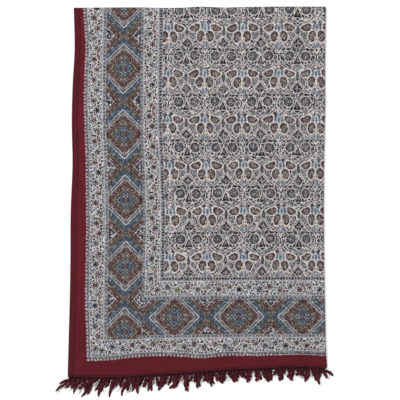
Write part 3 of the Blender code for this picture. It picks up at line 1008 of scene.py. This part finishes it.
def woven(flat):
    """The cloth's fine height: a product of two sines for the weave, and noise drawn out for its slubs."""
    x, y = apart(flat)
    turns = 2 * math.pi / WEAVE_PITCH
    weave = x.math("SINE", x * turns) * y.math("SINE", y * turns)
    warp, weft = (noise(flat.vector("MULTIPLY", flat, squeeze), SLUB_SCALE) for squeeze in SLUB_SQUEEZE)
    return weave * WEAVE_HEIGHT + (warp + weft)


print("threads in a centimetre:", round(10 / WEAVE_PITCH))

# %% Printed cotton
SOAK = ((0.3, 0.7), (0.02, 0.3))  # of the ink: how fine, and how strong
SOAK_LEAST = 0.5
TINT_SCALE = 0.06
TINT_LEAST, TINT_REACH = (0.89, 0.92, 0.88), (0.22, 0.16, 0.24)  # how unevenly red, green and blue come back
WRONG_SIDE_FADE = 0.45


def printed_cotton():
    recipe = Recipe("printed_cotton", roughness=0.88, sheen=0.06)
    flat = recipe.uv("print")
    place = shaken(flat)
    distance, along, on_side = border_places(place, recipe.uv("bands"))
    inks = [(strip.side_mm / RAMP_END, inner.ink) for strip, inner in zip(STRIPS, STRIPS[1:])]
    strip_ink = picked(distance / RAMP_END, [(0, STRIPS[0].ink), *inks])
    colour = paint(field(place), distance < BORDER_END, strip_ink)
    blooms = flowers(distance, along, on_side)
    for name in ("outer flowers", "inner flowers"):
        colour = paint(colour, between(distance, *span(name)), blooms)
    colour = rows_of_dots(colour, distance, along, on_side)
    colour = specks(colour, flat, FINE_MARKS)
    colour = paint(colour, between(distance, *span("diamonds")), diamonds(distance, along, on_side))
    colour = paint(colour, distance < STRIPS[0].side_mm, plain_edge(flat, recipe.value("from_side")))
    tint = noise(flat, TINT_SCALE, detail=1.0, output="Color")
    colour = colour.vector("MULTIPLY", colour, tint.vector("MULTIPLY_ADD", tint, TINT_REACH, TINT_LEAST))
    fine, wide = (noise(flat, scale) * strength for scale, strength in SOAK)
    soaked = recipe.add("VectorMath", {"operation": "SCALE"}, {0: colour, "Scale": fine + wide + SOAK_LEAST})
    finished = paint(soaked, recipe.value("wrong_side") * WRONG_SIDE_FADE, "taupe")
    recipe.feed(recipe.shader.inputs["Base Color"], finished)
    bump = recipe.add("Bump", {}, {"Strength": 0.5, "Distance": 0.00035, "Height": woven(flat)})
    recipe.feed(recipe.shader.inputs["Normal"], bump)
    print("nodes in the printed cotton:", len(recipe.nodes))
    return recipe.material


cloth.data.materials.append(printed_cotton())

# %% [markdown]
# The fringe is the cloth's own warp, twisted into locks by hand. Each lock leaves a narrow knotted heading,
# leans the way its neighbours do, curls a little, and ends in a point. Hair simulation would tangle them, so
# a table gives the lean from the side edge to the crease, and seeded draws vary it. Neighbours gather in
# clumps, as yarn does when a cloth is handled, and locks of one layer lie on those of the layer below.

# %% Sizes of the fringe
HEADING_GAP, HEADING_DEPTH, HEADING_THICK = 0.3 * MM, 5 * MM, 1.4 * MM
LOCKS_PER_LAYER = 30
LOCK_MARGIN = 6 * MM  # from the heading's ends to the first lock's middle
LOCK_STAGGER = np.array([0.75, 0.25, 0.5, 0.0])  # in pitches of the locks, layer by layer from the floor
FRINGE_INSET = np.array([0, 1.5, 3, 0]) * MM  # of each layer's fringe, from the cloth's side edge
LOCK_LENGTH = 50 * MM
LOCK_WIDTH = 8.4 * MM
MOST_LEAN = 80  # degrees
CLUMP_PITCH, CLUMP_LEAN, CLUMP_LONGER = 34.4 * MM, 27, 0.24  # locks gather in clumps, the middle one longest
ROOT_SHARE = 0.35  # of a lock's length, over which it turns from straight out to its lean
Heap = namedtuple("Heap", "below_mm thick_mm gap_mm")
HEAP = table(  # how thick the locks may be and how far apart they lie, by distance below the cloth's end
    Heap, (5, 1.4, 0.6), (16, 2.6, 0.4), (32, 2.2, 0.4), (55, 1.3, 0.3), (75, 1.0, 0.3),
)
Lean = namedtuple("Lean", "along degrees longer curly round")
LEAN = table(  # 0 is straight out, and minus is towards the side edge
    Lean, (0.00, -48, 1.06, 0.8, 0.1), (0.04, -40, 1.10, 0.8, 0.1), (0.10, -34, 1.10, 0.9, 0.1),
    (0.17, -28, 1.00, 1.0, 0.1), (0.30, -22, 0.92, 1.1, 0.3), (0.42, -12, 0.88, 1.2, 0.3),
    (0.55, 2, 0.82, 1.5, 0.6), (0.66, 8, 0.74, 2.0, 0.9), (0.86, 4, 0.70, 2.0, 1.0),
    (0.95, 14, 0.78, 1.4, 0.8), (1.00, 32, 1.00, 0.8, 0.4),
)
Girth = namedtuple("Girth", "share pointed blunt")
GIRTH = table(  # a knot near the root, then loose yarn, then its tip
    Girth, (0.00, 0.85, 0.90), (0.09, 1.05, 1.10), (0.20, 0.76, 0.82), (0.45, 0.94, 1.05),
    (0.72, 0.98, 1.22), (0.90, 0.66, 1.10), (1.00, 0.22, 0.60),
)
print("locks:", 4 * LOCKS_PER_LAYER, "of about", round(LOCK_LENGTH / MM), "mm")

# %% How each lock lies
Pull = namedtuple("Pull", "lean longer curl phase waves")
Habit = namedtuple("Habit", "lean shortest longest curl")
LOCK_HABIT = Habit(lean=4, shortest=0.8, longest=1.12, curl=24)  # lean and curl in degrees, either way
STRAND_HABIT = Habit(lean=16, shortest=0.5, longest=1.1, curl=60)


def one_pull(chance, habit):
    """How one lock or strand differs from its neighbours."""
    lean, longer = chance.uniform(-habit.lean, habit.lean), chance.uniform(habit.shortest, habit.longest)
    curl = habit.curl * chance.uniform(0.35, 1) * chance.choice([-1, 1])
    return Pull(lean, longer, curl, chance.uniform(0, 2 * math.pi), chance.uniform(0.6, 1.1))


def fringe_ends(layer):
    """Where a layer's fringe begins and ends across the cloth."""
    return side_x(0) + FRINGE_INSET[layer], bundle_x(0)


def end_y(layer, x):
    """The cloth's fringed end in a layer, at a place across it."""
    left, right = fringe_ends(layer)
    return fringed_y((x - left) / (right - left))


def heading_y(layer, x):
    """The middle of the heading, a little beyond the cloth's end."""
    return end_y(layer, x) - HEADING_GAP - HEADING_DEPTH / 2


def heap_floor(layer, x, y):
    """The height that a layer's locks rest at, and how thick they may be there."""
    below = (end_y(layer, x) - y) / MM
    thick = curve(HEAP, "thick_mm", below) * MM
    return layer * (thick + curve(HEAP, "gap_mm", below) * MM), thick


def lock_lines(layer, x, along, pulls, steps):
    """Middle lines [lock, ring] in plan, and which way they point: lean plus a sine, eased in at the root."""
    lean, longer, curl, phase, waves = (np.array(part)[:, None] for part in zip(*pulls))
    clump = 2 * math.pi * x[:, None] / CLUMP_PITCH
    longer = longer * (1 + CLUMP_LONGER * np.cos(clump))
    length = LOCK_LENGTH * curve(LEAN, "longer", along)[:, None] * longer + HEADING_DEPTH / 2
    share = (np.arange(steps) + 0.5) / steps
    gather = CLUMP_LEAN * (1 - curve(LEAN, "round", along)[:, None] / 2)
    lean = curve(LEAN, "degrees", along)[:, None] + lean - gather * np.sin(clump)
    curl = curl * curve(LEAN, "curly", along)[:, None]
    sway = lean + curl * np.sin(phase + 2 * math.pi * waves * share)
    turn = np.radians(np.clip(sway * ease(share / ROOT_SHARE), -MOST_LEAN, MOST_LEAN))
    step = np.stack([np.sin(turn), -np.cos(turn)], axis=-1) * (length / steps)[..., None]
    start = np.stack([x, heading_y(layer, x)], axis=-1)[:, None]
    ring_turn = np.concatenate([turn[:, :1] * 0, (turn[:, :-1] + turn[:, 1:]) / 2, turn[:, -1:]], axis=1)
    return np.concatenate([start, start + np.cumsum(step, axis=1)], axis=1), ring_turn, length


print("what a lock draws for itself:", ", ".join(Pull._fields))

# %% [markdown]
# A lock is two plies twisted together, so its section is an oval with two lobes that turn along it. All locks
# are one array of rings, and each ring has the same few corners, as a lock is seen a hundred times. Thin
# strands that came loose lie beside them.

# %% Twisted tubes
LOCK_STEPS, LOCK_SIDES = 12, 8
STRAND_STEPS, STRAND_SIDES, STRAND_WIDTH = 9, 4, 1.3 * MM
STRANDS_PER_LOCK = 2
PLY_PITCH = 11  # mm from one lobe to the next along a lock
LOBE = 0.15  # how far a lobe stands out, as a share of the section
Tubes = namedtuple("Tubes", "points faces places shades")


def tubes(middle, aside, upward, travel, shades, sides, lobe=LOBE):
    """Tubes [tube, ring, corner] round middle lines: cosine times aside plus sine times upward, and lobes."""
    share = np.arange(sides + 1) / sides
    angle = 2 * math.pi * share - math.pi / 2
    lobes = 1 + lobe * np.cos(2 * math.pi * (2 * share - travel[..., None] / PLY_PITCH))
    spoke = np.cos(angle)[:, None] * aside[..., None, :] + np.sin(angle)[:, None] * upward[..., None, :]
    points = middle[..., None, :] + lobes[..., None] * spoke
    points[..., 2] = np.maximum(points[..., 2], 0)
    number = np.arange(points[..., 0].size).reshape(points.shape[:3])
    walls = quads(number[:, :-1, :-1], number[:, 1:, :-1], number[:, 1:, 1:], number[:, :-1, 1:])
    caps = number[:, 0, :-1].tolist() + number[:, -1, -2::-1].tolist()
    places = np.stack(np.broadcast_arrays(share, travel[..., None]), axis=-1)
    shade = np.broadcast_to(shades[:, None, None], places.shape[:3])
    return Tubes(points.reshape(-1, 3), walls.tolist() + caps, places.reshape(-1, 2), shade.ravel())


def joined(parts):
    """Several sets of tubes as one."""
    faces, before = [], 0
    for part in parts:
        faces += [[corner + before for corner in face] for face in part.faces]
        before += len(part.points)
    return Tubes(*(np.concatenate(column) if name != "faces" else faces
                   for name, column in zip(Tubes._fields, zip(*parts))))


print("faces of one lock:", LOCK_STEPS * LOCK_SIDES + 2)

# %% The two fringes
ROOT_SHADE = 0.5
OUTER_SEED, INNER_SEED = 11, 12


def heading(upper, lower):
    """The knotted edge that the locks grow from: along one layer, round the bundle's fold and back."""
    radius = (upper - lower) / 2 * LAYER_PITCH
    leg = np.linspace(0, 1, 4 * LOCKS_PER_LAYER + 1)
    arc = np.linspace(0, math.pi, BUNDLE_STEPS + 1)[1:-1]
    turn = np.concatenate([leg * 0, arc, leg * 0 + math.pi])
    layers = np.where(turn < math.pi / 2, upper, lower)
    left, right = fringe_ends(layers)
    x = np.concatenate([leg, arc * 0 + 1, leg[::-1]]) * (right - left) + left
    upward = np.stack([np.sin(turn), turn * 0, np.cos(turn)], axis=-1)
    middle = np.stack([x, heading_y(layers, x), x * 0], axis=-1) + radius * upward
    middle[:, 2] += HEADING_THICK / 2 + BUNDLE_MIDDLE
    aside = np.broadcast_to([0, -HEADING_DEPTH / 2, 0], middle.shape)
    travel = np.concatenate([[0], np.cumsum(np.linalg.norm(np.diff(middle, axis=0), axis=1))]) / MM
    rings = middle[None], aside[None], upward[None] * HEADING_THICK / 2, travel[None]
    return tubes(*rings, np.array([ROOT_SHADE]), LOCK_SIDES, lobe=0.05)


def hanging(layer, x, along, pulls, wide, deep, lie, shades, steps, sides):
    """Tubes that hang from the heading. Deep and lie are shares of the room that the heap leaves a layer."""
    line, turn, length = lock_lines(layer, x, along, pulls, steps)
    share = np.linspace(0, 1, steps + 1)
    blunt = curve(LEAN, "round", along)[:, None]
    girth = curve(GIRTH, "pointed", share) * (1 - blunt) + curve(GIRTH, "blunt", share) * blunt
    low, room = heap_floor(layer[:, None], line[..., 0], line[..., 1])
    middle = np.concatenate([line, (low + room * lie[:, None])[..., None]], axis=-1)
    aside = np.stack([np.cos(turn), np.sin(turn), turn * 0], axis=-1) * (wide[:, None] * girth)[..., None]
    upward = np.stack([turn * 0, turn * 0, room * deep / 2 * girth.clip(0.35, 1)], axis=-1)
    return tubes(middle, aside, upward, length * share / MM, shades, sides)


def locks(upper, lower, chance):
    """All locks of one end's fringe, and the strands that came loose from them."""
    layer = np.repeat([upper, lower], LOCKS_PER_LAYER)
    order = np.concatenate([np.arange(LOCKS_PER_LAYER), np.arange(LOCKS_PER_LAYER)[::-1]])
    left, right = fringe_ends(layer)
    pitch = (right - left - 2 * LOCK_MARGIN) / (LOCKS_PER_LAYER - 1 + max(LOCK_STAGGER))
    x = left + LOCK_MARGIN + pitch * (order + LOCK_STAGGER[layer])
    first = fringe_ends(upper)[0]
    along = (x - first) / (right - first)
    pulls = [one_pull(chance, LOCK_HABIT) for _ in x]
    shades = chance.uniform(0.25, 1, len(x))
    wide = LOCK_WIDTH / 2 * chance.uniform(0.85, 1.12, len(x))
    thick = hanging(layer, x, along, pulls, wide, 1.0, x * 0 + 0.5, shades, LOCK_STEPS, LOCK_SIDES)
    layer, along = np.repeat(layer, STRANDS_PER_LOCK), np.repeat(along, STRANDS_PER_LOCK)
    x = np.repeat(x, STRANDS_PER_LOCK) + chance.uniform(-LOCK_WIDTH / 2, LOCK_WIDTH / 2, len(layer))
    pulls = [one_pull(chance, STRAND_HABIT) for _ in x]
    shades = chance.uniform(0.5, 1, len(x))
    lie = chance.uniform(0.5, 1, len(x))
    wide = np.full(len(x), STRAND_WIDTH / 2)
    thin = hanging(layer, x, along, pulls, wide, 0.4, lie, shades, STRAND_STEPS, STRAND_SIDES)
    return joined([thick, thin])


def fringe(name, upper, lower, seed):
    """One end's fringe as one object."""
    parts = joined([heading(upper, lower), locks(upper, lower, np.random.default_rng(seed))])
    piece = add_piece(name, parts.points + on_frame, parts.faces)
    add_uv(piece.data, "ply", parts.places)
    add_value(piece.data, "shade", parts.shades)
    print(name, "faces:", len(parts.faces))
    return piece


fringe_outer = fringe("outer_fringe", TOP_LAYER, 0, OUTER_SEED)
fringe_inner = fringe("inner_fringe", TOP_LAYER - 1, 1, INNER_SEED)

# %% [markdown]
# The yarn is dyed with the hems, and looks darker, as its loose fibres trap light. The UV map runs once round
# a lock and in millimetres along it, so the grooves between the plies get painted shade along the same lobes
# that the mesh has, and each lock's flanks get painted shade beside its neighbours. Each lock has its own
# shade, and painted shade makes all of them darkest at the heading, under the cloth's edge.

# %% Fringe yarn
YARN_LIGHT, YARN_MIDDLE, YARN_DARK = dye(144, 62, 78), dye(88, 19, 32), dye(14, 2, 6)
FIBRES_ROUND, FIBRES_ALONG, FIBRES_APART = 9, 0.05, 50  # how fine: round a ply, along it, lock to lock
# Painted shade: in the grooves between the plies, on each lock's flanks, and at the root below the cloth's
# edge
SHADE_DARK, GROOVE_AND_FLANK_SHADE, PAINTED_ROOT_SHADE, FIBRE_LIGHT = 0.55, 0.8, 0.6, 0.6  # how strongly each is laid on
ROOT_SHADOW_FADE_MM = 24


def fringe_yarn():
    recipe = Recipe("fringe_yarn", roughness=0.9, sheen=0.02)
    round_share, along = apart(recipe.uv("ply"))
    shade = recipe.value("shade")
    ply = round_share * 2 - along / PLY_PITCH
    lobe = ply.math("COSINE", ply * (2 * math.pi))
    strand = {0: ply * FIBRES_ROUND, 1: along * FIBRES_ALONG, 2: shade * FIBRES_APART}
    drawn_out = {"Vector": recipe.add("CombineXYZ", {}, strand), "Scale": 1.0, "Detail": 2.0}
    fibres = recipe.add("TexNoise", {}, drawn_out)
    colour = paint(YARN_MIDDLE, (1 - shade) * SHADE_DARK, YARN_DARK)
    colour = paint(colour, cover(1 - fibres, 0.46, 0.1) * FIBRE_LIGHT, YARN_LIGHT)
    # painted shade in the grooves between the plies
    colour = paint(colour, cover(lobe, -0.5, 0.4) * GROOVE_AND_FLANK_SHADE, YARN_DARK)
    # painted shade on each lock's flanks, where its neighbours shade it
    shaded_flanks = cover(0.25 - abs(round_share - 0.5), 0.07, 0.07)
    colour = paint(colour, shaded_flanks * GROOVE_AND_FLANK_SHADE, YARN_DARK)
    # painted shade at the root, fading out over the first millimetres of each tube
    root = cover(along, ROOT_SHADOW_FADE_MM / 2, ROOT_SHADOW_FADE_MM / 2)
    colour = paint(colour, root * PAINTED_ROOT_SHADE, YARN_DARK)
    recipe.feed(recipe.shader.inputs["Base Color"], colour)
    bump = recipe.add("Bump", {}, {"Strength": 0.7, "Distance": 0.0006, "Height": fibres + lobe * 0.4})
    recipe.feed(recipe.shader.inputs["Normal"], bump)
    return recipe.material


yarn = fringe_yarn()
for piece in (fringe_outer, fringe_inner):
    piece.data.materials.append(yarn)
print("yarn on", fringe_outer.name, "and", fringe_inner.name)

# %% [markdown]
# The floor, the light and the camera are plain. A large soft lamp above and to the left and an even pale
# world give the cloth its light from above. The camera looks straight down from far away through a long lens,
# as flat textiles are photographed, so nothing leans.

# %% Floor, light and camera
FRAME_WIDTH = 1176.4 * MM  # what the picture shows, side to side
FRAME_MIDDLE = (382.2 * MM, 500.0 * MM)  # over the cloth, from its side edge and its fringed end
CAMERA_HEIGHT = 4.5
FLOOR_SIZE = 40
LAMP_SIZE, LAMP_POWER = 3.6, 270
LAMP_PLACE, LAMP_TILT = (-2.0, 2.0, 5.0), math.radians(-21)
FLOOR_GREY, FLOOR_ROUGHNESS = 0.9, 0.9
WORLD_LIGHT = 0.66

bpy.ops.mesh.primitive_plane_add(size=FLOOR_SIZE)
floor = bpy.context.object
floor.name = "floor"
floor_look = bpy.data.materials.new("pale_floor")
floor_look.use_nodes = True
floor_shader = floor_look.node_tree.nodes["Principled BSDF"]
floor_shader.inputs["Base Color"].default_value = (FLOOR_GREY, FLOOR_GREY, FLOOR_GREY, 1)
floor_shader.inputs["Roughness"].default_value = FLOOR_ROUGHNESS
floor.data.materials.append(floor_look)

world = bpy.data.worlds.new("studio")
bpy.context.scene.world = world
world.use_nodes = True
background = world.node_tree.nodes["Background"]
background.inputs["Color"].default_value = (1, 1, 1, 1)
background.inputs["Strength"].default_value = WORLD_LIGHT

lamp_data = bpy.data.lights.new("soft_lamp", "AREA")
lamp_data.size = LAMP_SIZE
lamp_data.energy = LAMP_POWER
lamp = bpy.data.objects.new("soft_lamp", lamp_data)
lamp.location = LAMP_PLACE
lamp.rotation_euler = (LAMP_TILT, LAMP_TILT, 0)
bpy.context.scene.collection.objects.link(lamp)

camera_data = bpy.data.cameras.new("camera")
camera_data.lens = camera_data.sensor_width * CAMERA_HEIGHT / FRAME_WIDTH
camera = bpy.data.objects.new("camera", camera_data)
camera.location = (FRAME_MIDDLE[0] + on_frame[0], FRAME_MIDDLE[1] + on_frame[1], CAMERA_HEIGHT)
bpy.context.scene.collection.objects.link(camera)
bpy.context.scene.camera = camera
bpy.context.scene.view_settings.view_transform = "Standard"
print("lens:", round(camera_data.lens), "mm")

# %% Join the pieces to the frame
for piece, node, slot in (
    (cloth, "cloth", "printed_cotton"),
    (fringe_outer, "fringe_outer", "fringe_yarn"),
    (fringe_inner, "fringe_inner", "fringe_yarn"),
):
    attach(piece, "root")
    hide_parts(node)
